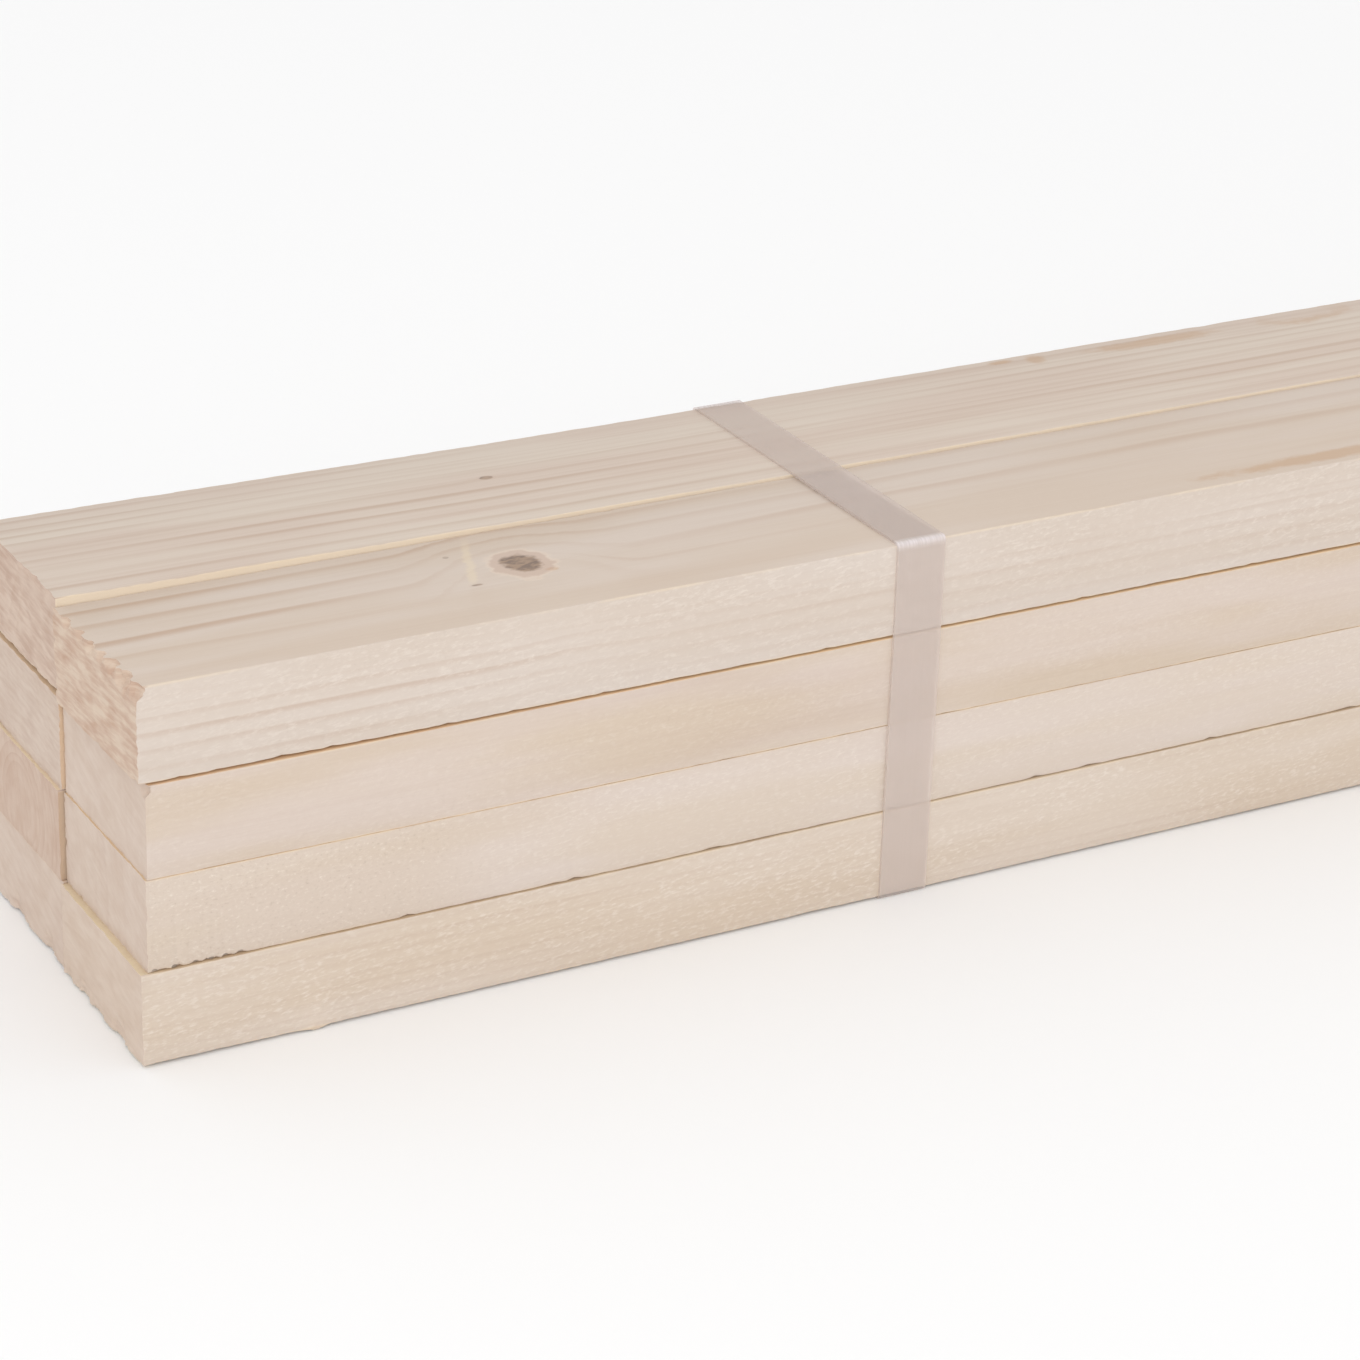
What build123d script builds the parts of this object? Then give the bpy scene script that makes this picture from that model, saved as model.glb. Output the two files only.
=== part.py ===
from build123d import *

import os
from collections import namedtuple
from math import cos, radians, sin

# A bundle of eight sawn battens, two side by side and four high, held by two plastic straps.
# X runs along the battens, with the near end at -X. Y runs across, with the front at -Y.
# Z is up. The origin is under the middle of the bundle, on the plane that it lies on.

# Batten stock
batten_width = 45.0
batten_thickness = 21.0
batten_length = 2000.0
arris_radius = 0.5

# Strapping band, pulled tight round the stack
strap_width = 12.0
strap_thickness = 0.6
strap_slack = 0.02
strap_from_end = 181.0

# Welded lap of the band's two ends, as shares of the straight run that it lies on
lap_start = 0.08
lap_end = 0.90

# How a batten lies: the one it rests on, how far its near end is set back, how far it is
# pushed towards the back, how much thicker than nominal it was sawn, the lean in degrees
# that lifts one long edge, and the space under it at the near end, halfway and at the far end.
Lay = namedtuple(
    "Lay",
    "rests_on set_back push extra lean near_gap middle_gap far_gap",
    defaults=(0.0, 0.0, 0.0, 0.0, 0.0),
)
back = batten_width

lays = {
    "bottom_front_batten": Lay(None, set_back=0.0, push=0.0),
    "bottom_back_batten": Lay(None, set_back=0.7, push=back + 0.2, extra=0.2),
    "lower_front_batten": Lay("bottom_front_batten", set_back=1.6, push=0.4),
    "lower_back_batten": Lay("bottom_back_batten", set_back=0.4, push=back + 0.8, extra=0.1),
    "upper_front_batten": Lay("lower_front_batten", set_back=2.0, push=0.2),
    "upper_back_batten": Lay("lower_back_batten", set_back=1.1, push=back + 0.5, extra=0.2),
    "top_front_batten": Lay(
        "upper_front_batten", set_back=0.4, push=0.0, extra=0.1, lean=-0.6,
        near_gap=0.1, middle_gap=1.6, far_gap=0.5,
    ),
    "top_back_batten": Lay(
        "upper_back_batten", set_back=1.2, push=back + 0.4, extra=0.2,
        near_gap=1.3, middle_gap=0.4, far_gap=1.0,
    ),
}

# Overall outline of the stack, whose middle is the origin
bundle_length = batten_length + max(lay.set_back for lay in lays.values())
stack_width = batten_width + max(lay.push for lay in lays.values())
middle_x = bundle_length / 2
middle_y = stack_width / 2
near_strap_x = strap_from_end - middle_x
far_strap_x = middle_x - strap_from_end


def sawn_thickness(lay):
    """Thickness of one batten, with what the saw left on it."""
    return batten_thickness + lay.extra


def underside(lay):
    """Height of a batten's underside where the straps press it down on the one below."""
    if lay.rests_on is None:
        return strap_thickness + strap_slack
    below = lays[lay.rests_on]
    return underside(below) + sawn_thickness(below)


def resting_edge(lay):
    """How far across the batten its lean turns it: about its front or its back lower edge."""
    return 0.0 if lay.lean >= 0 else batten_width


def arris_centres(lay):
    """Centres of the four rounded long edges, in Y and Z, where a strap crosses the batten."""
    lean = radians(lay.lean)
    edge_y = lay.push + resting_edge(lay) - middle_y
    centres = []
    for across in (arris_radius, batten_width - arris_radius):
        for up in (arris_radius, sawn_thickness(lay) - arris_radius):
            arm = across - resting_edge(lay)
            y = edge_y + arm * cos(lean) - up * sin(lean)
            z = underside(lay) + arm * sin(lean) + up * cos(lean)
            centres.append((y, z))
    return centres


def long_edge(near_end, far_end, lay, height):
    """One long edge of the side view: straight, or bowed up off the batten below."""
    level = (1, 0)
    overhang = near_strap_x - near_end
    points = [
        (near_end, height + lay.near_gap),
        (near_strap_x, height),
        (0.0, height + lay.middle_gap),
        (far_strap_x, height),
        (far_end, height + lay.far_gap),
    ]
    rise = (overhang, -2 * lay.near_gap)
    fall = (overhang, 2 * lay.far_gap)
    if max(lay.near_gap, lay.middle_gap, lay.far_gap) > 0:
        return Spline(*points, tangents=[rise, level, level, level, fall])
    return Line(points[0], points[-1])


def make_batten(name, lay):
    """One batten: its side view run across its width, with the long edges worn round."""
    near_end = lay.set_back - middle_x
    far_end = near_end + batten_length
    pivot_y = lay.push + resting_edge(lay) - middle_y
    pivot = Plane(origin=(0, pivot_y, underside(lay)), x_dir=(1, 0, 0), z_dir=(0, -1, 0))
    side_view = pivot.rotated((lay.lean, 0, 0)).offset(resting_edge(lay))
    with BuildPart() as batten:
        with BuildSketch(side_view):
            with BuildLine():
                under = long_edge(near_end, far_end, lay, 0.0)
                over = long_edge(near_end, far_end, lay, sawn_thickness(lay))
                Line(under @ 0, over @ 0)
                Line(under @ 1, over @ 1)
            make_face()
        extrude(amount=-batten_width)
        fillet(edges().sort_by(SortBy.LENGTH)[-4:], radius=arris_radius)
    batten.part.label = name
    return batten.part


def make_strap(name, x):
    """One strap: a band along the tight outline of the stack, its ends welded in a lap."""
    corners = [centre for lay in lays.values() for centre in arris_centres(lay)]
    inner_bend_radius = arris_radius + strap_slack
    with BuildPart() as strap:
        with BuildSketch(Plane.YZ.offset(x - strap_width / 2)):
            with Locations(*corners):
                outer_bends = Circle(inner_bend_radius + strap_thickness, mode=Mode.PRIVATE)
                inner_bends = Circle(inner_bend_radius, mode=Mode.PRIVATE)
            make_hull(outer_bends.edges())
            straight_runs = edges().filter_by(GeomType.LINE)
            back_runs = straight_runs.filter_by_position(Axis.X, batten_width / 2, stack_width)
            lap_run = back_runs.sort_by(SortBy.LENGTH)[-1]
            make_hull(inner_bends.edges(), mode=Mode.SUBTRACT)
            lap_ends = (lap_run @ lap_start, lap_run @ lap_end)
            foot, top = sorted(lap_ends, key=lambda point: point.Y)
            outwards = (top - foot).normalized().rotate(Axis.Z, -90) * strap_thickness
            with BuildLine():
                Polyline(foot, top, top + outwards, foot + outwards, close=True)
            make_face()
        extrude(amount=strap_width)
    strap.part.label = name
    return strap.part


os.makedirs("parts", exist_ok=True)

for name, lay in lays.items():
    export_step(make_batten(name, lay), f"parts/{name}.step")

for name, x in {"near_strap": near_strap_x, "far_strap": far_strap_x}.items():
    export_step(make_strap(name, x), f"parts/{name}.step")
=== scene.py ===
# %% [markdown]
# # A bundle of sawn battens
# Eight spruce battens lie two side by side and four high, and two plastic straps hold them.
# The measured solids come first, as a fixed frame. Everything in this lesson is made around
# them: the camera, battens with torn ends and worn arrises, a wood finish grown ring by ring,
# a milky strap, then the floor and the light.

from math import cos, pi, sin

import bmesh
import bpy
import numpy as np
from mathutils import Matrix, Vector, noise
from mathutils.bvhtree import BVHTree


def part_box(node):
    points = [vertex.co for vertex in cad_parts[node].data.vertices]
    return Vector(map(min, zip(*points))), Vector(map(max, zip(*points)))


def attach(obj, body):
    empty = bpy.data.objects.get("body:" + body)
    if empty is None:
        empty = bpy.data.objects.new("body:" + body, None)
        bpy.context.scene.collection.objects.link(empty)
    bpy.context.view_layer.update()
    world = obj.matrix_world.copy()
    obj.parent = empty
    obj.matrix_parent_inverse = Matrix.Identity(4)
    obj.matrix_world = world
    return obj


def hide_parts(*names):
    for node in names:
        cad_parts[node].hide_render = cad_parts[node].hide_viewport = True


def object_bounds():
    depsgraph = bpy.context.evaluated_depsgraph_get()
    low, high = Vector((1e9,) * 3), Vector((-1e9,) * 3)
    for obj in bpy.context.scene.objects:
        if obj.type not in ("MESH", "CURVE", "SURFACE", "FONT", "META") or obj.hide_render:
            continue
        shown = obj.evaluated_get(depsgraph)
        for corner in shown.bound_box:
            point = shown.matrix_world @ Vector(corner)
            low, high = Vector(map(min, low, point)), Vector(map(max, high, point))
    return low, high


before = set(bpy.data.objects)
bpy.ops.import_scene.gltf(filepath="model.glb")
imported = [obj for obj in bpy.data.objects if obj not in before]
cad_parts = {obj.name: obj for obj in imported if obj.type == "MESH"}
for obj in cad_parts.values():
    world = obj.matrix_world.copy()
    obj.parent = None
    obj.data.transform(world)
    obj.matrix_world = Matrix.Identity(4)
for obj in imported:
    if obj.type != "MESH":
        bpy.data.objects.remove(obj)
solids_low, solids_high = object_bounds()
MM = 0.001
print("solids", [round(side / MM, 1) for side in solids_high - solids_low], "mm")

# %% [markdown]
# ## The camera
# The photograph was taken with a long lens from the near end, a little above the stack. The
# numbers come from lining up the battens' edges with the photograph, so the picture and the
# model can be laid over each other. The camera could be turned with three angles in the
# editor; here its axes are written out, because that says what each angle does.

# %% Camera
focal_length, film_side = 108.42, 36.0
eye = Vector((-1.26550, -0.72956, 0.41989))
turn_right, look_down, roll = 0.5148077, 0.4254058, -0.0327272

ahead = Vector((sin(turn_right) * cos(look_down), cos(turn_right) * cos(look_down),
                -sin(look_down)))
level = Vector((cos(turn_right), -sin(turn_right), 0.0))
plumb = ahead.cross(level)
right = cos(roll) * level + sin(roll) * plumb
below = cos(roll) * plumb - sin(roll) * level

camera = bpy.data.objects.new("camera", bpy.data.cameras.new("camera"))
camera.data.lens, camera.data.sensor_width = focal_length, film_side
camera.data.clip_start, camera.data.clip_end = 0.05, 200.0
camera.matrix_world = (Matrix.Translation(eye)
                       @ Matrix((right, -below, -ahead)).transposed().to_4x4())
bpy.context.scene.collection.objects.link(camera)
bpy.context.scene.camera = camera
print("camera at", [round(place, 3) for place in eye], "m with a", focal_length, "mm lens")

# %% [markdown]
# ## How each batten lies
# Two of the battens are a little bowed and one leans, so a piece that replaces a solid has to
# follow it. A Shrinkwrap modifier could press a mesh onto the solid, but it squeezes the cells
# near the edges. Here the solid is felt with rays from above, below and both sides, and what
# they meet gives the middle and the lean of the section all along the batten.

# %% Feel a solid with rays
feeler = 15 * MM
felt_stations = 101


def lie_of(node):
    """Length, width and height of a batten's section, and its middle and lean at stations."""
    low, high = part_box(node)
    middle = (low + high) / 2
    solid = bmesh.new()
    solid.from_mesh(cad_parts[node].data)
    bmesh.ops.remove_doubles(solid, verts=solid.verts, dist=0.001 * MM)
    skin = BVHTree.FromBMesh(solid)
    solid.free()

    def met(x, y, z, way):
        return skin.ray_cast(Vector((x, y, z)) - way, way)[0]

    up, across = Vector((0, 0, 1)), Vector((0, 1, 0))
    rows = []
    for x in np.linspace(low.x + 1 * MM, high.x - 1 * MM, felt_stations):
        tops = [met(x, middle.y + side, middle.z, -up).z for side in (-feeler, feeler)]
        top, base = sum(tops) / 2, met(x, middle.y, middle.z, up).z
        lean = (tops[1] - tops[0]) / (2 * feeler)
        centre_z = (top + base) / 2
        front = met(x, middle.y, centre_z, across).y
        rear = met(x, middle.y, centre_z, -across).y
        rows.append((x, (front + rear) / 2, centre_z, lean, rear - front, top - base))
    x, y, z, lean, width, height = np.array(rows).T
    square = cos(lean.mean())
    return {"length": high.x - low.x, "middle_x": middle.x, "x": x, "y": y, "z": z, "lean": lean,
            "width": width.mean() * square, "height": height.mean() * square}


batten_names = [f"{tier}_{side}_batten" for tier in ("bottom", "lower", "upper", "top")
                for side in ("front", "back")]
lies = {name: lie_of(name) for name in batten_names}
for name, lie in lies.items():
    print(name, round(lie["width"] / MM, 2), "x", round(lie["height"] / MM, 2), "mm, lean",
          round(float(lie["lean"].mean()), 4), "bow", round(float(np.ptp(lie["z"])) / MM, 2), "mm")

# %% [markdown]
# ## A straight batten, ready for wear
# A sawn batten is a bar with slightly broken arrises. It starts as a cube stretched to size.
# A bevel breaks the four long edges, and one subdivision divides the bar along its length, so
# that the arrises can be nicked later. The end faces need a much finer net than the sides,
# because the saw tears the fibres there. So the rim of each end is divided first, and a grid
# fill spans it.

# %% Stations along the bar
arris = 0.5 * MM
end_cell = 0.5 * MM
first_place, last_place = 3.0 * MM, 5.0 * MM
spacings = ((110 * MM, 1.0 * MM), (420 * MM, 2.0 * MM), (1.0, 5.0 * MM))


def stations_of(half_length):
    """Places along half a bar, close together near the end and wider towards the middle."""
    place, places = first_place, [0.0]
    while place < half_length - last_place:
        places.append(place)
        place += next(spacing for reach, spacing in spacings if place < reach)
    near_half = [place - half_length for place in places]
    return near_half + [-station for station in reversed(near_half)]


print("one bar is divided at", len(stations_of(1.0)), "stations")


# %% Fine end faces
def long_way(edge, axis):
    """How far an edge goes along an axis."""
    return abs(edge.verts[0].co[axis] - edge.verts[1].co[axis])


def fill_end(bar, face):
    """Opens an end, divides its rim and spans it with a fine grid."""
    reach = face.verts[0].co.x
    rim = list(face.edges)
    bmesh.ops.delete(bar, geom=[face], context="FACES_ONLY")
    for axis in (1, 2):
        flat = [edge for edge in rim if long_way(edge, axis) > 2 * arris]
        cuts = round(flat[0].calc_length() / end_cell) - 1
        bmesh.ops.subdivide_edges(bar, edges=flat, cuts=cuts)
    rim = [edge for edge in bar.edges
           if edge.is_boundary and long_way(edge, 0) < 0.1 * MM
           and abs(edge.verts[0].co.x - reach) < 0.1 * MM]
    highest = max(edge.verts[0].co.z for edge in rim)
    rails = [edge for edge in rim
             if min(abs(vert.co.z) for vert in edge.verts) > highest - 0.6 * arris]
    return bmesh.ops.grid_fill(bar, edges=rails)["faces"]


def straight_bar(length, width, height):
    """A bar along X round the origin, with broken arrises and fine ends, and its end faces."""
    bar = bmesh.new()
    bmesh.ops.create_cube(bar, size=1.0, matrix=Matrix.Diagonal((length, width, height, 1.0)))
    edges = [edge for edge in bar.edges if long_way(edge, 0) > length / 2]
    bmesh.ops.bevel(bar, geom=edges, offset=arris, affect="EDGES", segments=2, profile=0.5,
                    material=-1)
    stations = stations_of(length / 2)
    edges = [edge for edge in bar.edges if long_way(edge, 0) > length / 2]
    bmesh.ops.subdivide_edges(bar, edges=edges, cuts=len(stations) - 2, use_grid_fill=True)
    for vert in bar.verts:
        vert.co.x = stations[round((vert.co.x / length + 0.5) * (len(stations) - 1))]
    torn = [face for end in [face for face in bar.faces if abs(face.normal.x) > 0.9]
            for face in fill_end(bar, end)]
    bmesh.ops.recalc_face_normals(bar, faces=bar.faces)
    return bar, torn


trial, trial_ends = straight_bar(2.0, 0.045, 0.021)
print("a bar has", len(trial.faces), "faces,", len(trial_ends), "of them in its ends, and",
      sum(edge.is_boundary for edge in trial.edges), "open edges")
trial.free()

# %% [markdown]
# ## Wear and torn fibres
# A fresh saw cut isn't a flat plane. Across the grain the fibres are torn into small ridges that
# follow the saw's strokes, and along the arrises slivers break away. A Displace modifier could
# do this with a texture. Moving the points in a loop says more clearly where the wear is: an
# arris is made wider or narrower in the planes of its two faces, so the faces stay flat.

# %% Worn arrises
narrowest, widest_at_end = 0.15, 0.45
end_zone = 1.2 * MM


def waves(place, scale, seed):
    """Smooth noise from -1 to 1 with its own size in millimetres along each axis."""
    return noise.noise(Vector([at / MM / size for at, size in zip(place, scale)])
                       + Vector((17.3 * seed, 5.1 * seed, 9.7 * seed)))


def arris_size(place, nicks, half_length, seed):
    """How wide the broken arris is at a place, with the listed nicks and burrs."""
    fine, slow = waves(place, (2.5, 9, 9), seed), waves(place, (34, 20, 20), seed + 1)
    size = max(0.1, 0.36 + 0.26 * fine + 0.16 * slow)
    size += max(0.0, waves(place, (11, 13, 13), seed + 2) - 0.42) * 1.6
    for x, side_y, side_z, length, depth in nicks:
        if side_y * place.y > 0 and side_z * place.z > 0:
            size += max(0.0, 1 - abs(place.x / MM - x) / length) ** 0.6 * depth
    if half_length - abs(place.x) < end_zone:
        size = min(max(size, narrowest), widest_at_end)
    return size * MM


def wear_arrises(bar, lie, nicks, seed):
    """Widens and narrows the broken arrises along a straight bar."""
    half_length, half_width, half_height = (lie[side] / 2
                                            for side in ("length", "width", "height"))
    for vert in bar.verts:
        off_y, off_z = half_width - abs(vert.co.y), half_height - abs(vert.co.z)
        if max(off_y, off_z) > 1.02 * arris:
            continue
        side_y, side_z = (1 if at > 0 else -1 for at in vert.co.yz)
        corner = Vector((vert.co.x, side_y * half_width, side_z * half_height))
        size = arris_size(corner, nicks, half_length, seed)
        vert.co.y = side_y * (half_width - off_y * size / arris)
        vert.co.z = side_z * (half_height - off_z * size / arris)


samples = [arris_size(Vector((x * MM, -22.5 * MM, -10.5 * MM)), (), 1.0, 3) / MM
           for x in range(-900, 900, 3)]
print("a worn arris is", round(min(samples), 2), "to", round(max(samples), 2), "mm wide")

# %% Torn ends
deepest_chip = 2.6
splinter_zone = 1.8


def tear_ends(torn, lie, strokes, tear, bites, seed):
    """Tears the fibres of both end faces along leaning strokes, and bites chips off."""
    half_length, half_width, half_height = (lie[side] / 2
                                            for side in ("length", "width", "height"))
    for vert in {vert for face in torn for vert in face.verts}:
        side = 1 if vert.co.x > 0 else -1
        across = vert.co.y * cos(strokes) + vert.co.z * sin(strokes)
        along = vert.co.z * cos(strokes) - vert.co.y * sin(strokes)
        place = Vector((vert.co.x, across, along))
        depth = 0.18 * waves(place, (9, 1.1, 8), seed) + 0.08 * waves(place, (9, 0.7, 3), seed + 1)
        depth += 0.30 * max(0.0, waves(place, (9, 2.2, 6), seed + 2) - 0.2)
        inwards = min(half_width - abs(vert.co.y), half_height - abs(vert.co.z)) / MM
        splinters = (max(0.0, waves(place, (9, 1.3, 2.5), seed + 3))
                     * max(0.0, 1 - inwards / splinter_zone))
        depth = (max(depth + 0.1, -0.1) + 0.7 * splinters) * tear
        for bitten_side, y, z, radius, deep in bites:
            if bitten_side == side:
                far = ((vert.co.y / MM - y) ** 2 + (vert.co.z / MM - z) ** 2) ** 0.5 / radius
                bite = 1 - far + 0.5 * waves(place, (9, 2.0, 1.2), seed + 4)
                depth += deep * min(1.0, 1.6 * max(0.0, bite))
        vert.co.x = side * (half_length - min(depth, deepest_chip) * MM)


print("a chip goes at most", deepest_chip, "mm deep, less than the", first_place / MM,
      "mm to the first station")

# %% [markdown]
# ## Eight battens
# The finished bar is laid along the line that the rays felt, with its lean, and then takes the
# place of its solid. A smooth surface with sharp edges where two faces meet at more than thirty
# degrees keeps the flats flat and the torn ends rough. Two attributes stay with each point for
# the finish: its place in the straight bar, and whether it is on a cut end.

# %% Lay a bar where its solid lies
def lay(bar, lie):
    """Moves a straight bar's points onto the bowed and leaning line of its solid."""
    for vert in bar.verts:
        x, y, z = vert.co.x + lie["middle_x"], vert.co.y, vert.co.z
        centre_y, centre_z, lean = (np.interp(x, lie["x"], lie[part])
                                    for part in ("y", "z", "lean"))
        vert.co = (x, centre_y + y - z * lean, centre_z + z + y * lean)


def batten(name, nicks=(), strokes=0.0, tear=1.0, bites=(), seed=1):
    """One batten in place of its solid, worn and torn."""
    lie = lies[name]
    bar, torn = straight_bar(lie["length"], lie["width"], lie["height"])
    cut_end = bar.verts.layers.float.new("cut_end")
    in_bar = bar.verts.layers.float_vector.new("in_bar")
    for vert in {vert for face in torn for vert in face.verts}:
        vert[cut_end] = 1.0
    wear_arrises(bar, lie, nicks, seed)
    tear_ends(torn, lie, strokes, tear, bites, seed)
    for vert in bar.verts:
        vert[in_bar] = vert.co / MM
    lay(bar, lie)
    mesh = bpy.data.meshes.new(name + "_sawn")
    bar.to_mesh(mesh)
    bar.free()
    mesh.shade_smooth()
    mesh.set_sharp_from_angle(angle=pi / 6)
    piece = bpy.data.objects.new(name + "_sawn", mesh)
    bpy.context.scene.collection.objects.link(piece)
    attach(piece, "root")
    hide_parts(name)
    return piece


print("a batten is laid along", felt_stations, "felt stations")


# %% Nicks, chips and strokes of each batten
def nicked(places, length, depth):
    """Nicks in the bottom front arris, at places counted in millimetres from the near end."""
    return [(place - 1000, -1, -1, length, depth) for place in places]


def bitten(*chips):
    """Chips off the near end, each a place across and up, a radius and a depth."""
    return [(-1, *chip) for chip in chips]


pits = nicked((3.5, 7, 10.5, 12.8, 15, 17.5, 20.4), 0.9, 1.0)
chips = nicked((58, 97, 131, 176, 214, 229, 262, 301, 338), 1.6, 0.8)
splits = nicked((9, 17, 31, 42, 49, 68, 83, 104, 121, 139, 158, 187, 203, 224, 243, 270, 291, 322),
                1.3, 0.45)
burr = nicked([38], 3.6, -0.9) + nicked([4], 22, 0.45)
cuts_of = {
    "bottom_front_batten": dict(strokes=1.4, tear=0.6, seed=3, nicks=burr, bites=bitten(
        (20, -10.4, 3, 0.6), (11, -10.4, 4, 0.8), (3, -10.4, 3, 0.5), (-9, -10.4, 5, 0.7))),
    "bottom_back_batten": dict(strokes=1.3, tear=0.6, seed=4, bites=bitten(
        (-12, -10.4, 4, 0.6), (6, -10.4, 5, 0.8))),
    "lower_front_batten": dict(strokes=1.1, tear=0.5, seed=5, nicks=pits + chips),
    "lower_back_batten": dict(strokes=0.2, tear=0.5, seed=6),
    "upper_front_batten": dict(strokes=1.3, tear=0.3, seed=7, bites=bitten(
        (-22.0, 9.4, 1.8, 1.2))),
    "upper_back_batten": dict(strokes=1.5, tear=0.7, seed=8),
    "top_front_batten": dict(strokes=1.6, tear=1.2, seed=9, nicks=splits, bites=bitten(
        (-21.5, 9.8, 3.5, 1.6), (-15, 10.5, 3.6, 2.0), (-9, 10.5, 2.6, 1.8),
        (-3.5, 10.5, 1.8, 1.1), (2, 10.5, 2.2, 1.2), (8, 10.5, 2.0, 0.9), (15, 10.5, 2.4, 1.0))),
    "top_back_batten": dict(strokes=1.5, tear=1.1, seed=10),
}
print("nicks:", {name: len(cuts.get("nicks", ())) for name, cuts in cuts_of.items()})

# %% Make the battens
battens = {name: batten(name, **cuts) for name, cuts in cuts_of.items()}
for name, piece in battens.items():
    corners = np.array([vert.co for vert in piece.data.vertices])
    print(name, len(piece.data.polygons), "faces, from", np.round(corners.min(0) / MM, 2), "to",
          np.round(corners.max(0) / MM, 2))

# %% [markdown]
# ## Sums of fields
# The finishes are worked out from the place of a point: how far it is from the tree's heart,
# whether it is on the cut end. In the node editor that is a long chain of Math nodes. The small
# class below stands for one output of a node, and adds those nodes when it is used in a sum, so
# that a formula reads like a formula.

# %% A field and its sums
class Field:
    """What one output of a node gives at each point of a surface."""

    def __init__(self, socket):
        self.socket = socket

    def node(self, kind, settings=None, sockets=None, output=0):
        """Adds any other node to the same tree: its settings, then its sockets' values or links."""
        tree = self.socket.id_data
        made = tree.nodes.new(kind)
        for setting, value in (settings or {}).items():
            if setting == "stops":
                stops = made.color_ramp.elements
                stops.remove(stops[1])
                stops[0].position, stops[0].color = value[0][0], [value[0][1]] * 3 + [1.0]
                for at, level in value[1:]:
                    stops.new(at).color = [level] * 3 + [1.0]
            else:
                setattr(made, setting, value)
        for place, value in (sockets or {}).items():
            if isinstance(value, Field):
                tree.links.new(value.socket, made.inputs[place])
            else:
                made.inputs[place].default_value = value
        return Field(made.outputs[output])

    def math(self, operation, *values):
        """Adds a Math node for an operation on fields and numbers."""
        return self.node("ShaderNodeMath", {"operation": operation}, dict(enumerate(values)))

    def size(self):
        """The field without its sign."""
        return self.math("ABSOLUTE", self)

    def parts(self):
        """The three numbers of a vector."""
        outputs = self.node("ShaderNodeSeparateXYZ", {}, {0: self}).socket.node.outputs
        return [Field(socket) for socket in outputs]

    def __add__(self, other):
        return self.math("ADD", self, other)

    def __sub__(self, other):
        return self.math("SUBTRACT", self, other)

    def __rsub__(self, other):
        return self.math("SUBTRACT", other, self)

    def __mul__(self, other):
        return self.math("MULTIPLY", self, other)

    def __truediv__(self, other):
        return self.math("DIVIDE", self, other)

    def __pow__(self, power):
        return self.math("POWER", self, power)

    __radd__, __rmul__ = __add__, __mul__


print("a field can be summed in", sum(name.startswith("__") and callable(way) for name, way
                                      in vars(Field).items()) - 1, "ways")


# %% Steps, clouds and colours
def step(field, low, high):
    """0 below low, 1 above high, and a smooth rise between them."""
    return field.node("ShaderNodeMapRange", {"interpolation_type": "SMOOTHSTEP"},
                      {"Value": field, "From Min": low, "From Max": high})


def cloud(place, scale, seed=0.0, detail=2.0, roughness=0.5):
    """Noise from 0 to 1 whose clumps have a size in millimetres along each axis."""
    stretched = place.node("ShaderNodeMapping", {}, {
        "Vector": place, "Location": (seed * 13.7, seed * 7.9, seed * 4.3),
        "Scale": [1 / size for size in scale]})
    return place.node("ShaderNodeTexNoise", {}, {
        "Vector": stretched, "Scale": 1.0, "Detail": detail, "Roughness": roughness})


def colour_mix(mask, base, tint):
    """The tint where the mask is 1, the base where it is 0."""
    return mask.node("ShaderNodeMix", {"data_type": "RGBA"}, {0: mask, 6: base, 7: tint}, output=2)


def paint(red, green, blue):
    """A colour given as on a screen, from 0 to 255, as the light values that a shader uses."""
    return [*(((part / 255 + 0.055) / 1.055) ** 2.4 for part in (red, green, blue)), 1.0]


print("screen grey 128 is", round(paint(128, 128, 128)[0], 3), "in light")

# %% [markdown]
# ## Growth rings
# Wood has its pattern right through: growth rings round the heart of the tree, cut open by the
# saw. So the finish measures each point's distance from the heart, which usually lies outside
# the batten, and the years follow from a list of ring radii. The same rings then run in arcs
# over the end and in lines along the sides, as on the real bar. A flat grain picture on each
# face would be quicker, but it wouldn't meet at the arrises.

# %% Years from the distance to the heart
most_years = 28


def ramp(share, levels):
    """Looks a value up from stops, given as pairs of a place from 0 to 1 and a level."""
    return share.node("ShaderNodeValToRGB", {"stops": levels}, {0: share})


def year_lines(radius, radii, vivid):
    """The thin late line that ends each year, and the gradual darkening before it, 0 to 1."""
    first, reach = radii[0], radii[-1] - radii[0]
    share = (radius - first) / reach
    years = len(radii) - 1
    counted = ramp(share, [((at - first) / reach, year / years)
                           for year, at in enumerate(radii)]) * years
    in_year = counted - counted.math("FLOOR", counted)
    strength = ramp(share, [((0.6 * low + 0.4 * high - first) / reach, level)
                            for low, high, level in zip(radii, radii[1:], vivid)])
    thin = step(in_year, 0.52, 0.86) * (1 - step(in_year, 0.90, 1.0))
    return thin * strength, in_year ** 2.0 * strength


def grown_rings(look):
    """Ring radii and how vivid each late line is: listed for the top battens, seeded after."""
    chance = np.random.default_rng(look["seed"])
    heart = (look["heart"][0] ** 2 + look["heart"][1] ** 2) ** 0.5
    radii = list(look.get("radii", [max(0.0, heart - 40)]))
    vivid = list(look.get("vivid", []))
    while len(radii) <= most_years:
        radii.append(radii[-1] + look["ring"] * chance.uniform(0.65, 1.35))
    while len(vivid) < most_years:
        vivid.append(chance.uniform(0.1, 1.0) ** 1.5)
    return [float(at) for at in radii], [float(level) for level in vivid]


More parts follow.
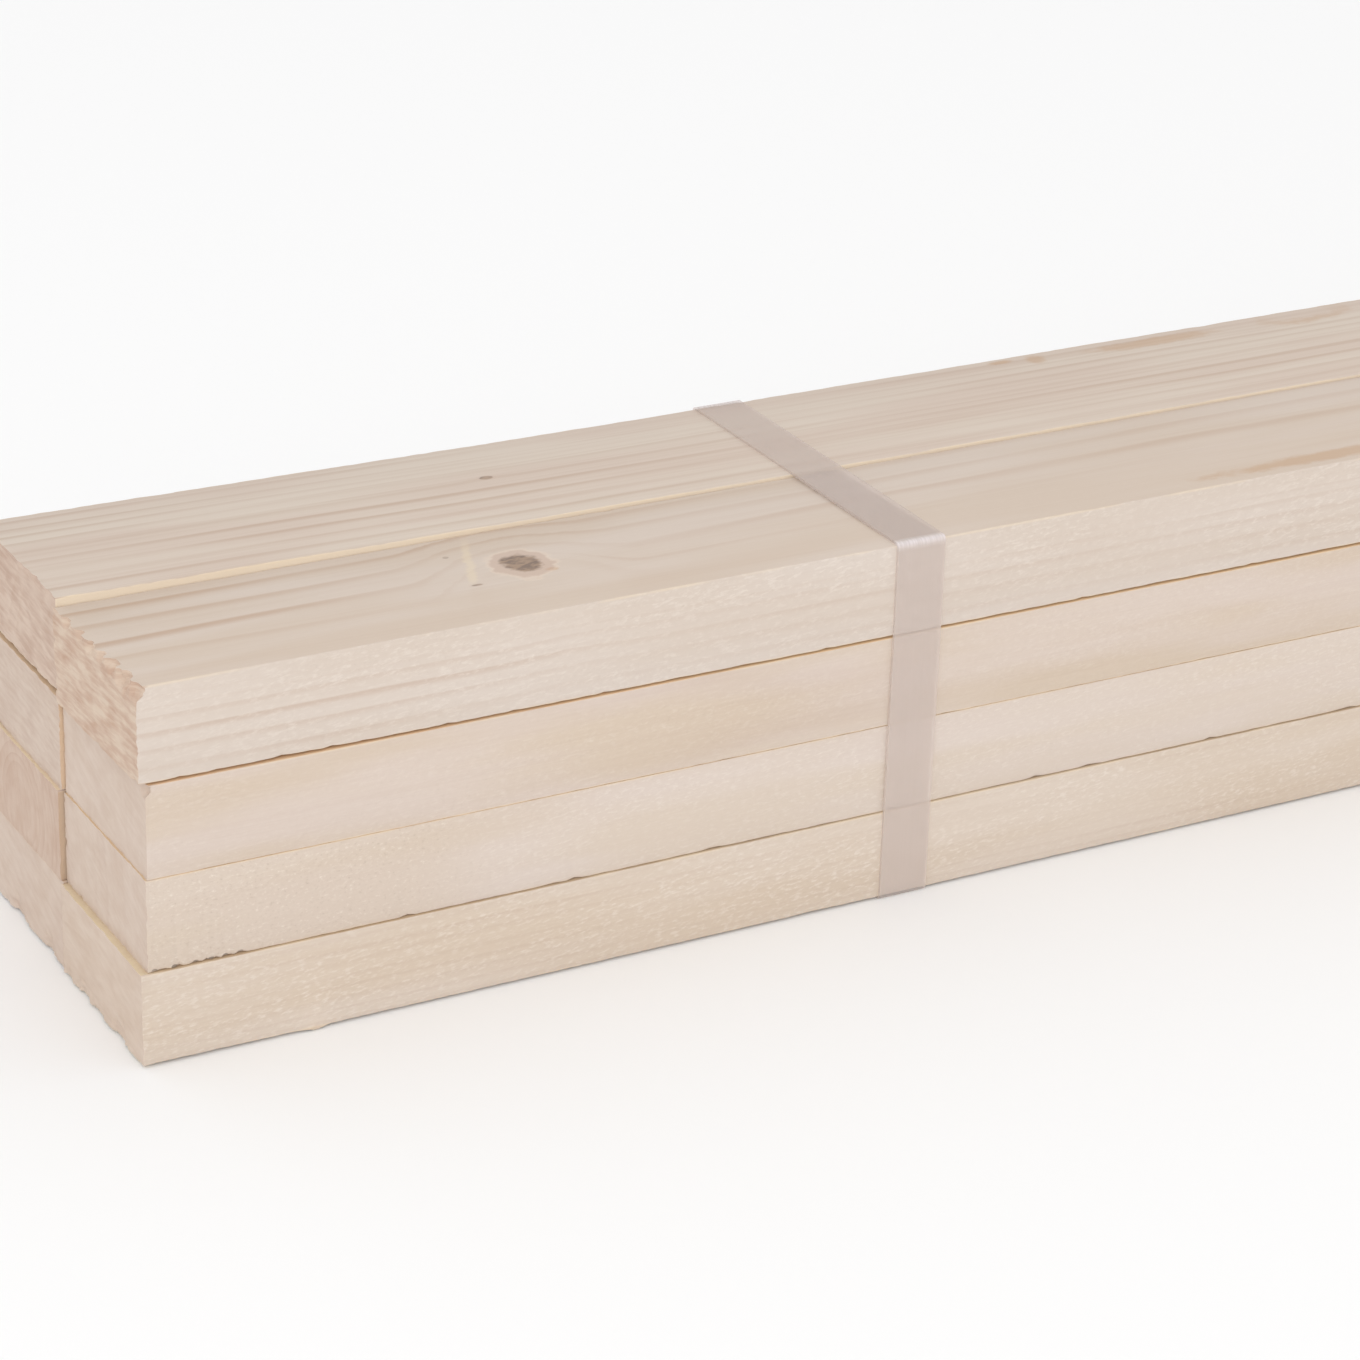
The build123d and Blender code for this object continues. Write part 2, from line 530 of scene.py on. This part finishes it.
trial_radii = grown_rings({"seed": 1, "heart": (50, 0), "ring": 3})[0]
print("first years of a seeded batten:", [round(at, 1) for at in trial_radii[:6]])

# %% Rings of one batten
def rings_at(place, push, look):
    """The late lines and the gradual darkening of the years at a place in the bar."""
    x, y, z = place.parts()
    seed = look["seed"]
    drift_y = (cloud(place, (420, 200, 200), seed + 1) - 0.5) * look["drift"]
    for slide_from, slide_to, far in look["slides"]:
        drift_y = drift_y + step(x, slide_from, slide_to) * far
    drift_z = (cloud(place, (300, 200, 200), seed + 2) - 0.5) * look["drift"] * 0.5
    off_y, off_z = y - look["heart"][0] - drift_y, z - look["heart"][1] - drift_z
    wobble = (cloud(place, (70, 11, 11), seed + 3) - 0.5) * 1.4
    radius = (off_y ** 2 + off_z ** 2) ** 0.5 + wobble - push
    thin, soft = year_lines(radius, *grown_rings(look))
    fade = 0.35 + step(cloud(place, (95, 16, 16), seed + 9, 1.0), 0.34, 0.66) * 0.9
    return thin * fade, soft * fade


print("the rings are cut by a batten", round(max(trial_radii) - min(trial_radii)),
      "mm deep into the tree at most")

# %% [markdown]
# ## Knots, stains, scars and painted light and shade
# A knot is the foot of a branch: dark wood with a paler halo round it, and the rings bend round
# it. On the battens' faces there are also brown stains and a pale scar, where something scraped
# along. Two pale lines are painted light instead: the lit strips of the lower tops that show past
# the battens above by the near end. Small dark spots are painted shade in pits. They could be
# painted on an image, but a mask round a place does it at any distance.
# Each mask is an ellipse or a line, made ragged by noise.

# %% Spots and lines as masks
halo_reach, pull_reach = 1.6, 6.5


def ellipse(x, y, ragged, place):
    """Distance from a knot or stain, 1 at its outline, with a ragged edge."""
    at_x, at_y, long, wide = place
    return (((x - at_x) / long) ** 2 + ((y - at_y) / wide) ** 2) ** 0.5 + (ragged - 0.5) * 1.1


def patch(x, y, ragged, spots, soft_from=0.5):
    """Mask of a list of spots, each a place, a half length, a half width and a strength."""
    mask = 0.0 * ragged
    for *place, strength in spots:
        mask = mask + (1 - step(ellipse(x, y, ragged, place), soft_from, 1.2)) * strength
    return mask


def scars_and_lit_strips_mask(x, y, ragged, scars_and_lit_strips):
    """Mask of pale scars and of painted light on lit strips, each a straight line between two
    places, its width and strength.
    """
    mask = 0.0 * ragged
    for from_x, from_y, to_x, to_y, wide, strength in scars_and_lit_strips:
        length = ((to_x - from_x) ** 2 + (to_y - from_y) ** 2) ** 0.5
        along_x, along_y = (to_x - from_x) / length, (to_y - from_y) / length
        along = (x - from_x) * along_x + (y - from_y) * along_y
        across = (x - from_x) * along_y - (y - from_y) * along_x + (ragged - 0.5) * 3.0
        in_length = step(along, 0.0, length * 0.4) * (1 - step(along, length * 0.85, length))
        mask = mask + (1 - step(across.size(), 0.2 * wide, wide)) * in_length * strength
    return mask


def knots_of(x, y, ragged, knots):
    """Masks of the cores, the halos and their outlines, and how far the rings are pushed out."""
    core, halo, outline, push = (0.0 * ragged for part in range(4))
    for *place, dark, bulge in knots:
        reach = ellipse(x, y, ragged, place)
        size = min(1.0, bulge / 3)
        core = core + (1 - step(reach, 0.75, 1.1)) * dark
        halo = halo + (1 - step(reach, halo_reach - 0.15, halo_reach + 0.15)) * size
        outline = outline + step(reach, 1.4, 1.65) * (1 - step(reach, 1.65, 1.9)) * size
        push = push + (1 - step(reach, 0.5, pull_reach)) * bulge
    return (core, halo, outline), push


print("a knot's halo reaches", halo_reach, "times as far as its core, and its pull on the rings",
      pull_reach, "times")

# %% [markdown]
# ## Sawn spruce
# Everything else lies over the rings: fine fibres, short pale flecks where the saw raised the
# surface, a grainy zone where it tore it, a painted highlight along the arrises, and painted
# light and shade on the faces that lie against another batten, so that the seams look shaded or
# lit. Each of these is one mask, and each mask mixes in one tint.

# %% Tints that the battens share
tints = {
    "fibre": paint(170, 146, 126),
    "bleached": paint(222, 212, 204),
    "fleck": paint(232, 222, 212),
    "rough": paint(206, 188, 168),
    "pale_speck": paint(238, 228, 216),
    "dark_speck": paint(150, 130, 112),
    # The arris tone is a painted highlight along the arrises.
    "arris": paint(234, 215, 186),
    # The scar tone also paints light on lit strips of the tops by the near end.
    "scar_and_lit_strip": paint(226, 209, 180),
    "stain": paint(190, 156, 124),
    # The next tone is painted shade in small pits near the ends.
    "pit_shade": paint(96, 82, 70),
    "halo": paint(198, 174, 158),
    "outline": paint(226, 208, 190),
    "dark_knot": paint(118, 101, 90),
    "pale_knot": paint(158, 134, 114),
}
near_full, near_gone = -960, -840
print(len(tints), "tints; the near end's tones fade out over", near_gone - near_full, "mm")


# %% Where the wood is sawn, covered, rough or raised
side_zone, seam_zone, arris_highlight_zone, flat_zone = (0.5, 0.1), (0.25, 0.05), (0.6, 0.2), (0.06, 0.02)


def close_to(field, face, begins, full):
    """1 where a place is full or less millimetres from a face, 0 where it is further in."""
    return step(field, face - begins, face - full)


def on_flat(y, z, lie):
    """1 on the four long faces, also where they meet the torn end."""
    wide = close_to(y.size(), lie["width"] / 2 / MM, *flat_zone)
    return wide.math("MAXIMUM", wide, close_to(z.size(), lie["height"] / 2 / MM, *flat_zone))


def masks_of(name, at, cut, look):
    """Masks of the sides, the covered faces, the arrises, the near end and the raised grain."""
    x, y, z = at.parts()
    seed = look["seed"]
    half_width, half_height = lies[name]["width"] / 2 / MM, lies[name]["height"] / 2 / MM
    sides = close_to(y.size(), half_width, *side_zone)
    # Faces that lie against another batten; they get painted seam light and shade.
    inner = close_to(y * look["inner"], half_width, *seam_zone)
    for side in look["covered"]:
        inner = inner.math("MAXIMUM", inner, close_to(z * side, half_height, *seam_zone))
    # A painted highlight along the four arrises, in patches.
    arris_highlight = (close_to(y.size(), half_width, *arris_highlight_zone)
               * close_to(z.size(), half_height, *arris_highlight_zone)
               * step(cloud(at, (22, 9, 9), seed + 14, 2.0, 0.6), 0.42, 0.60))
    slanted = at.node("ShaderNodeMapping", {}, {"Vector": at, "Rotation": (0.0, 0.14, 0.0)})
    patchy = step(cloud(at, (46, 9, 9), seed + 10), 0.35, 0.65)
    flecks = step(cloud(slanted, (2.0, 0.8, 0.6), seed + 6, 3.0, 0.6), 0.48, 0.70)
    rough_from, rough_to = look["rough"]
    return {
        "sides": sides,
        "inner": inner * (1 - cut),
        "arris_highlight": arris_highlight * (1 - cut),
        "near": 1 - step(x, near_full, near_gone),
        "patchy": patchy,
        "fuzz": flecks * (0.1 + 0.9 * sides) * (0.45 + 0.55 * patchy) * (1 - cut),
        "rough": (step(x, rough_from - 6, rough_from + 6)
                  * (1 - step(x, rough_to - 14, rough_to + 14)) * sides),
        "specks": cloud(at, (1.1, 0.9, 0.7), seed + 8, 3.0, 0.6) - 0.5,
    }


# The covered faces' tone is painted seam light and shade, and the arris tone is a painted
# highlight.
print("the yellow of a covered face begins", seam_zone[0], "mm from it, the worn arris",
      arris_highlight_zone[0], "mm from its faces")


# %% The wood right through
def grown_wood(at, thin, soft, fibres, near, look):
    """Pale and warm wood, its years, its streaks and its fibres."""
    seed = look["seed"]
    streaks = step(cloud(at, (200, 2.0, 2.0), seed + 11, 3.0, 0.65), 0.45, 0.75)
    broad = step(cloud(at, (90, 13, 13), seed + 5, 2.0), 0.36, 0.66)
    wood = colour_mix(broad, look["pale"], look["warm"])
    wood = colour_mix(soft * look["line"] * 0.3, wood, look["late"])
    wood = colour_mix(streaks * look["streaks"], wood, look["late"])
    wood = colour_mix(thin * look["line"] * (1 + near * look["near"]), wood, look["late"])
    return colour_mix(step(fibres, 0.30, 0.75) * 0.07, wood, tints["fibre"])


def sawn_over(wood, masks, look):
    """Bleach, flecks and grain on the sides, painted seam light and shade, and a painted arris
    highlight.
    """
    sides, rough, specks = masks["sides"], masks["rough"], masks["specks"]
    wood = colour_mix(sides * look["bleached"], wood, tints["bleached"])
    wood = colour_mix(masks["fuzz"] * look["fuzz"], wood, tints["fleck"])
    wood = colour_mix(rough * 0.4, wood, tints["rough"])
    grainy = rough * 0.30 + sides * (0.06 + 0.10 * masks["patchy"])
    wood = colour_mix(step(specks, 0.05, 0.24) * grainy, wood, tints["pale_speck"])
    wood = colour_mix(step(0 - specks, 0.06, 0.24) * grainy * 0.5, wood, tints["dark_speck"])
    # Painted seam light and shade on the covered faces: darker and more orange on most battens,
    # paler on the top back one, with its own tone at the near end.
    seam_light_and_shade = colour_mix(masks["near"], look["seam_light_and_shade_far"], look["seam_light_and_shade"])
    wood = colour_mix(masks["inner"] * 0.85, wood, seam_light_and_shade)
    # Painted highlight on the arrises.
    return colour_mix(masks["arris_highlight"] * 0.35, wood, tints["arris"])


print("specks, flecks and bleach use", [tint for tint in tints if "speck" in tint or
                                        tint in ("fleck", "bleached")])


# %% Spots and the cut end
def spotted(wood, at, ragged, sides, knots, look):
    """Scars and painted lit strips, stains, painted shade in pits, and knots over the wood."""
    x, y, z = at.parts()
    core, halo, outline = knots
    # A pale scar, and painted light on the strips of the lower tops that show by the near end.
    wood = colour_mix(scars_and_lit_strips_mask(x, y, ragged, look["scars_and_lit_strips"]) * (1 - sides), wood, tints["scar_and_lit_strip"])
    wood = colour_mix(patch(x, y, ragged, look["stains"]), wood, tints["stain"])
    # Painted shade in small pits on the sides.
    wood = colour_mix(patch(x, z, ragged, look["pits"], 0.8) * sides, wood, tints["pit_shade"])
    wood = colour_mix(halo * 0.65, wood, tints["halo"])
    wood = colour_mix(outline * 0.35, wood, tints["outline"])
    grey = step(cloud(at, (3.2, 1.5, 30), look["seed"] + 12, 3.0, 0.6), 0.38, 0.62)
    return colour_mix(core, wood, colour_mix(grey, tints["dark_knot"], tints["pale_knot"]))


def torn_end(at, soft, strokes, look):
    """Colour of the torn fibres along the saw's strokes, with dust and a trace of the years."""
    seed = look["seed"]
    turned = at.node("ShaderNodeMapping", {}, {"Vector": at, "Rotation": (strokes, 0.0, 0.0)})
    torn = step(cloud(turned, (9, 1.2, 8.0), seed + 7, 3.0, 0.6), 0.34, 0.66)
    dusty = step(cloud(at, (9, 8, 6), seed + 13, 2.0, 0.6), 0.36, 0.64)
    # The end tones are darker than the sides: partly end grain's own tone, partly painted shade on
    # the ends.
    end = colour_mix(torn * look["end_contrast"] + dusty * 0.4, look["end"], look["end_light"])
    return colour_mix(soft * look["end_rings"], end, look["late"])


print("painted strokes lean as the torn ones do:",
      [cuts["strokes"] for cuts in cuts_of.values()])


# %% Finish of one batten
def sawn_spruce(name, look):
    """The wood of one batten, from where its heart lies, its rings, knots and tints."""
    material = bpy.data.materials.new(name + "_spruce")
    material.use_nodes = True
    surface = material.node_tree.nodes["Principled BSDF"]
    out = Field(surface.outputs[0])
    seed = look["seed"]
    at = out.node("ShaderNodeAttribute", {"attribute_name": "in_bar"}, output="Vector")
    marked = out.node("ShaderNodeAttribute", {"attribute_name": "cut_end"}, output="Fac")
    x, y, z = at.parts()

    cut = marked * (1 - on_flat(y, z, lies[name]))
    masks = masks_of(name, at, cut, look)
    ragged = cloud(at, (5.0, 3.2, 40), seed, 3.0, 0.7)
    fibres = cloud(at, (30, 0.38, 0.38), seed + 4, 3.0, 0.6)
    knots, push = knots_of(x, y, ragged, look["knots"])
    thin, soft = rings_at(at, push, look)

    wood = grown_wood(at, thin, soft, fibres, masks["near"], look)
    wood = sawn_over(wood, masks, look)
    wood = spotted(wood, at, ragged, masks["sides"], knots, look)
    wood = colour_mix(cut * 0.9, wood, torn_end(at, soft, cuts_of[name]["strokes"], look))

    height = (fibres * 0.25 + thin * 0.10 + masks["fuzz"] * 0.4
              + masks["specks"] * masks["rough"] * 0.4 + knots[0] * 0.4)
    relief = out.node("ShaderNodeBump", {}, {
        "Strength": 0.25, "Distance": 0.10 * MM, "Height": height})
    for place, field in (("Base Color", wood), ("Normal", relief)):
        material.node_tree.links.new(field.socket, surface.inputs[place])
    surface.inputs["Roughness"].default_value = 0.75
    surface.inputs["Specular IOR Level"].default_value = 0.2
    return material


print("one finish for each of", len(battens), "battens")

# %% [markdown]
# ## Looks of the eight battens
# No two battens come from the same place in the tree. Each look says where the heart lies in the
# section, how wide the years are, and which knots and stains the faces have. The two on top are
# seen from above in the photograph, so their ring radii and spots are listed one by one; the
# others grow from their seed.

# %% The plain look
plain_look = dict(
    heart=(58, 0), ring=3.0, drift=14, slides=[], line=0.20, near=0.0, streaks=0.05, fuzz=0.22,
    bleached=0.15, stains=[], scars_and_lit_strips=[], pits=[], rough=(2000, 2001), inner=1, covered=(-1, 1),
    pale=paint(215, 200, 189), warm=paint(211, 194, 176), late=paint(158, 112, 86),
    # The two seam tones are painted light and shade for the seams, on faces that lie against
    # another batten.
    seam_light_and_shade=paint(198, 172, 146), seam_light_and_shade_far=paint(198, 176, 150),
    # The end tones are darker than the sides: partly end grain's own tone, partly painted shade on
    # the ends.
    end=paint(202, 182, 167), end_light=paint(214, 198, 185), end_contrast=0.35, end_rings=0.06)
print("the plain look has", len(plain_look), "values")

# %% Looks of the lower three tiers
# In these looks the seam tones are painted seam shade, darker and more orange than the wood.
looks = {
    "bottom_front_batten": dict(
        heart=(12, -64), ring=2.5, line=0.12, seed=1, fuzz=0.48, covered=(1,),
        pale=paint(214, 199, 184), warm=paint(208, 190, 170),
        seam_light_and_shade=paint(178, 150, 118), seam_light_and_shade_far=paint(170, 144, 116),
        # This line is painted light: the lit strip of the top that shows past the batten above by
        # the near end.
        knots=[(-420, 8, 7, 6, 0.9, 2)], scars_and_lit_strips=[(-1001.5, -60, -1001.5, 60, 6.0, 0.9)]),
    "bottom_back_batten": dict(
        heart=(-30, 40), inner=-1, seed=2, covered=(1,), knots=[(310, -4, 6, 5, 0.9, 2)]),
    "lower_front_batten": dict(
        heart=(62, -4), seed=3, fuzz=0.40, rough=(-1100, -930), bleached=0.3,
        seam_light_and_shade=paint(214, 188, 154), seam_light_and_shade_far=paint(188, 162, 132),
        # These dark pits are painted shade in small holes by the near end.
        pits=[(place - 1000, -10.2, 0.7, 0.5, 0.7) for place in (1.6, 6, 10.5, 14, 17, 20.4)],
        knots=[(-90, 2, 8, 6, 0.9, 2)]),
    "lower_back_batten": dict(
        heart=(1, -2), ring=2.6, inner=-1, seed=4, end=paint(193, 167, 151),
        end_light=paint(207, 187, 173), end_rings=0.35, knots=[(520, 6, 6, 5, 0.9, 2)],
        # This line is painted light: the lit strip of the top that shows past the batten above by
        # the near end.
        scars_and_lit_strips=[(-1001, -60, -1001, 60, 3.5, 0.8)]),
    "upper_front_batten": dict(
        heart=(70, 2), seed=5, fuzz=0.20, bleached=0.0, line=0.1,
        seam_light_and_shade=paint(226, 188, 146), seam_light_and_shade_far=paint(232, 198, 154),
        # This dark pit is painted shade in the hole under the batten above.
        pits=[(-1000.0, 9.6, 0.9, 1.0, 0.35)], knots=[(160, -6, 6, 5, 0.9, 2)]),
    "upper_back_batten": dict(
        heart=(-34, 30), ring=2.8, inner=-1, seed=6, end=paint(196, 175, 160),
        end_light=paint(209, 192, 178), end_contrast=0.6, seam_light_and_shade=paint(216, 188, 158),
        knots=[(-210, 9, 6, 5, 0.9, 2)]),
}
print("knots in", len(looks), "battens:", sum(len(look["knots"]) for look in looks.values()))

# %% Looks of the two top battens
looks["top_front_batten"] = dict(
    heart=(-27.5, -59.5), ring=3.3, drift=2, slides=[(-1000, -700, 5)], line=0.17, near=1.2,
    seed=7, covered=(-1,), bleached=0.32, fuzz=0.38,
    radii=[45.6, 49.2, 52.8, 56.7, 60.3, 63.6, 65.4, 67.8, 71.3, 72.8, 76.0, 79.9, 83.6],
    vivid=[0.7, 1.0, 0.4, 0.95, 0.9, 0.5, 0.15, 0.2, 0.15, 0.9, 0.7, 0.5],
    knots=[(-902.8, 2.8, 4.3, 4.9, 0.85, 5.0), (-916.3, -3.8, 1.3, 0.5, 0.6, 0.3),
           (-915.8, 12.5, 0.7, 0.6, 0.4, 0.2), (-380, -9, 5, 4, 0.9, 3),
           (240, 10, 7, 5, 0.9, 3), (735, -4, 4.5, 4, 0.9, 3)],
    stains=[(-702, -17.5, 42, 2.8, 0.55), (-898.2, -2.6, 1.6, 1.0, 0.8)],
    scars_and_lit_strips=[(-906.6, 23.6, -917.4, -4.6, 1.5, 0.4)],
    pale=paint(211, 197, 185), warm=paint(207, 191, 176), late=paint(166, 122, 82),
    end=paint(190, 159, 139), end_light=paint(213, 193, 174), end_contrast=0.7, end_rings=0.0)
looks["top_back_batten"] = dict(
    heart=(-62, -28), ring=3.8, drift=3, line=0.24, near=0.45, streaks=0.15,
    seed=8, inner=-1, covered=(-1,),
    radii=[46, 50.5, 55.5, 59.3, 63.1, 67.2, 71.4, 76.0, 80.0, 83.5, 86.7, 90.5],
    vivid=[0.2, 0.3, 0.9, 0.2, 0.5, 1.0, 0.5, 0.25, 0.8, 0.3, 0.5],
    knots=[(-889.3, 3.3, 1.5, 1.0, 0.7, 0.4), (-560, 6, 6, 5, 0.9, 2),
           (120, -12, 5, 4, 0.9, 2), (560, 9, 7, 5, 0.9, 3)],
    stains=[(-743.5, 20, 4, 1.2, 0.6), (-734.5, 18.5, 3, 3, 0.5), (-700, 17.5, 20, 2.6, 0.5),
            (-655, 19, 14, 6.0, 0.5), (-655, 20, 12, 4.6, -0.5)],
    pale=paint(211, 198, 185), warm=paint(207, 191, 178), late=paint(160, 122, 90),
    # This look's seam tones are paler: painted light on the lit strip of its side above the top
    # front batten.
    seam_light_and_shade=paint(233, 217, 194), seam_light_and_shade_far=paint(228, 212, 190),
    end=paint(188, 161, 144), end_light=paint(209, 188, 172), end_contrast=0.7)
for name, piece in battens.items():
    piece.data.materials.append(sawn_spruce(name, {**plain_look, **looks[name]}))
print("finishes:", [piece.data.materials[0].name for piece in battens.values()])

# %% [markdown]
# ## Milky strap
# The strap is a clear plastic band that has turned milky, so the battens' seams show faintly
# through it. Glass-like transmission is one way; partly clear alpha is enough for so thin a band
# and stays quiet in the render. Fine lines along the band come from the rollers that drew it. A
# painted highlight whitens the band where it bends over the top corners of the stack, and its
# top is painted a little darker as shade.

# %% Finish of the straps
# Reach of the painted highlight on the strap's top bends, in millimetres.
bend_highlight_begins, bend_highlight_full = 3.2, 0.6
# Reach of the painted shade on the strap's top, in millimetres.
shaded_top_begins, shaded_top_full = 2.0, 1.2


def milky_plastic():
    """Grey, half clear plastic with fine drawn lines, a painted highlight on its top bends and
    painted shade on its top.
    """
    material = bpy.data.materials.new("milky_strap")
    material.use_nodes = True
    surface = material.node_tree.nodes["Principled BSDF"]
    out = Field(surface.outputs[0])
    at = out.node("ShaderNodeTexCoord", output="Object")
    at = out.node("ShaderNodeMapping", {}, {"Vector": at, "Scale": [1 / MM] * 3})
    y, z = at.parts()[1:]
    drawn = cloud(at, (0.35, 40, 40), 1.0, 2.0)
    patches = cloud(at, (9, 9, 9), 2.0, 2.0)
    half_width, half_height = [side / 2 / MM for side in (solids_high - solids_low).yz]
    # A painted highlight on the two top bends, with more opacity there.
    bend_highlight = (close_to(y.size(), half_width, bend_highlight_begins, bend_highlight_full)
            * close_to(z - half_height, half_height, bend_highlight_begins, bend_highlight_full)
            * (0.75 + 0.25 * step(drawn, 0.30, 0.70)))
    tone = colour_mix(drawn * 0.5 + patches * 0.5, paint(225, 210, 201), paint(231, 217, 209))
    # The top of the strap is painted darker, as painted shade.
    tone = colour_mix(close_to(z, 2 * half_height, shaded_top_begins, shaded_top_full) * 0.5, tone,
                      paint(196, 181, 174))
    # Colour of the painted highlight on the top bends.
    tone = colour_mix(bend_highlight, tone, paint(246, 239, 241))
    relief = out.node("ShaderNodeBump", {}, {
        "Strength": 0.4, "Distance": 0.05 * MM, "Height": drawn})
    for place, field in (("Base Color", tone), ("Normal", relief), ("Alpha", 0.38 + 0.46 * bend_highlight)):
        material.node_tree.links.new(field.socket, surface.inputs[place])
    surface.inputs["Roughness"].default_value = 0.42
    return material


strap_finish = milky_plastic()
for name in ("near_strap", "far_strap"):
    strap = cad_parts[name]
    strap.data.materials.clear()
    strap.data.materials.append(strap_finish)
    print(name, "is finished in", strap.data.materials[0].name)

# %% [markdown]
# ## Floor and light
# The battens lie on a plain pale floor in even studio light. A white sky gives most of the
# light, and one large softbox in front makes the sawn sides a little brighter than the tops. A
# ring of lamps would do too, but then each batten would have several shadows.

# %% Floor
floor_reach, floor_grey = 40.0, 0.93
floor_mesh = bpy.data.meshes.new("floor")
sheet = bmesh.new()
bmesh.ops.create_grid(sheet, x_segments=1, y_segments=1, size=floor_reach)
sheet.to_mesh(floor_mesh)
sheet.free()
floor = bpy.data.objects.new("floor", floor_mesh)
bpy.context.scene.collection.objects.link(floor)
floor_paint = bpy.data.materials.new("floor_paint")
floor_paint.use_nodes = True
floor_surface = floor_paint.node_tree.nodes["Principled BSDF"]
floor_surface.inputs["Base Color"].default_value = [floor_grey] * 3 + [1.0]
floor_surface.inputs["Roughness"].default_value = 0.9
floor_mesh.materials.append(floor_paint)
print("floor", 2 * floor_reach, "m wide")

# %% Light
sky_strength, box_power, box_side = 0.95, 26, 1.8
sky = bpy.data.worlds.new("studio")
sky.use_nodes = True
sky.node_tree.nodes["Background"].inputs["Color"].default_value = (1.0, 1.0, 1.0, 1.0)
sky.node_tree.nodes["Background"].inputs["Strength"].default_value = sky_strength
bpy.context.scene.world = sky

box_place, box_aim = Vector((-2.4, -2.4, 1.9)), Vector((-0.9, 0, 0.05))
softbox = bpy.data.objects.new("front_box", bpy.data.lights.new("front_box", "AREA"))
softbox.data.size, softbox.data.energy = box_side, box_power
softbox.location = box_place
softbox.rotation_euler = (box_aim - box_place).to_track_quat("-Z", "Y").to_euler()
bpy.context.scene.collection.objects.link(softbox)
bpy.context.scene.view_settings.view_transform = "Standard"
print("a white sky and one softbox of", box_power, "W")

# %% [markdown]
# ## End of the scene
# The box round the measured solids is printed at the start.
